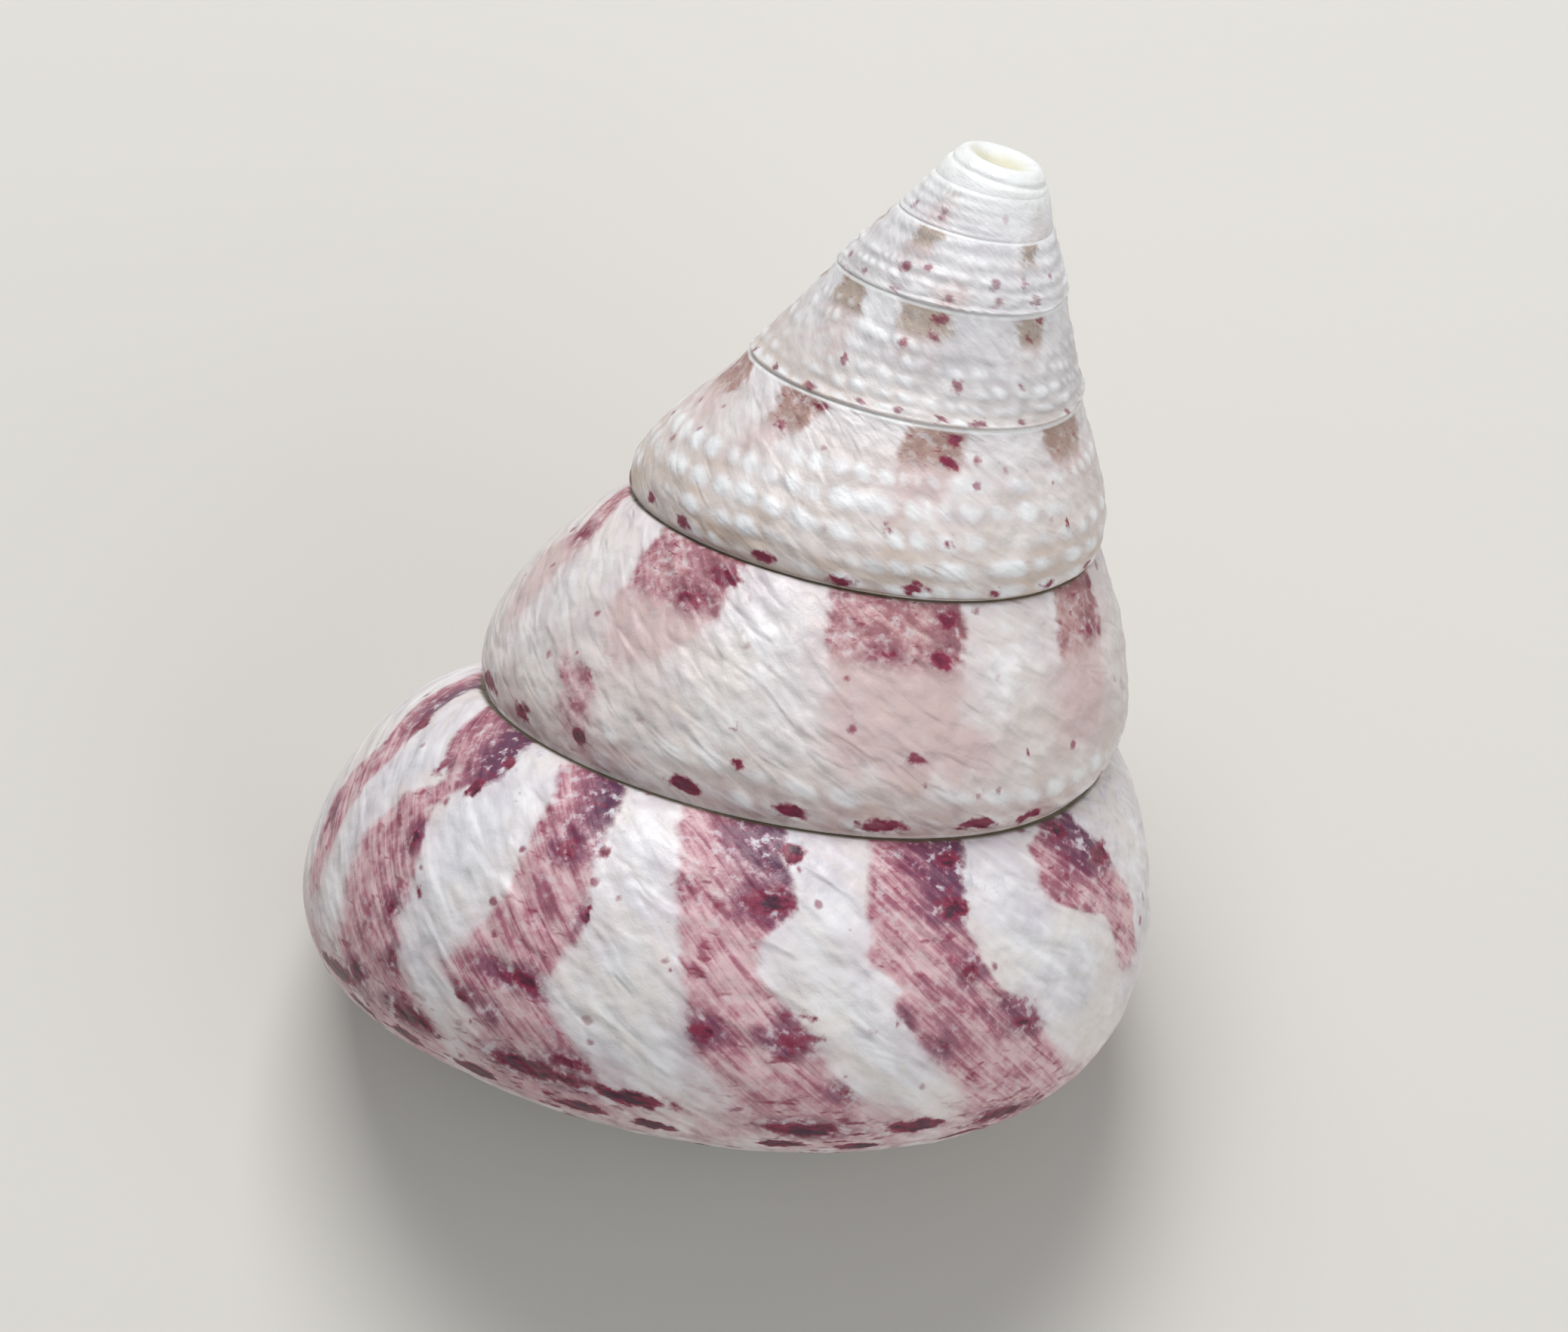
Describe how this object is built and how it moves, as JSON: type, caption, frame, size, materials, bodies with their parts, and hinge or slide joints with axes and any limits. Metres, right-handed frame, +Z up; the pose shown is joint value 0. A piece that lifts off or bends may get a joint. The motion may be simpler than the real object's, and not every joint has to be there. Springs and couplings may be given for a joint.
{
  "type": "trochus top shell",
  "caption": "Empty cone-shaped top shell with convex whorls and a worn tip, resting on the flat rim of its open mouth.",
  "frame": {"origin": "centre of the bounding box, on the surface that the shell rests on", "axes": "+Z up; the shell leans back on the plane of its mouth, its tip towards +Y and +X, and the painted back of the last whorl faces -Y"},
  "size_m": [0.0382, 0.0396, 0.0373],
  "materials": {
    "worn_shell": "beach-worn lime, satin white with rose-purple flames and crimson dots, pearly inside the mouth"
  },
  "bodies": {
    "root": {"shell": "worn_shell"}
  },
  "joints": []
}
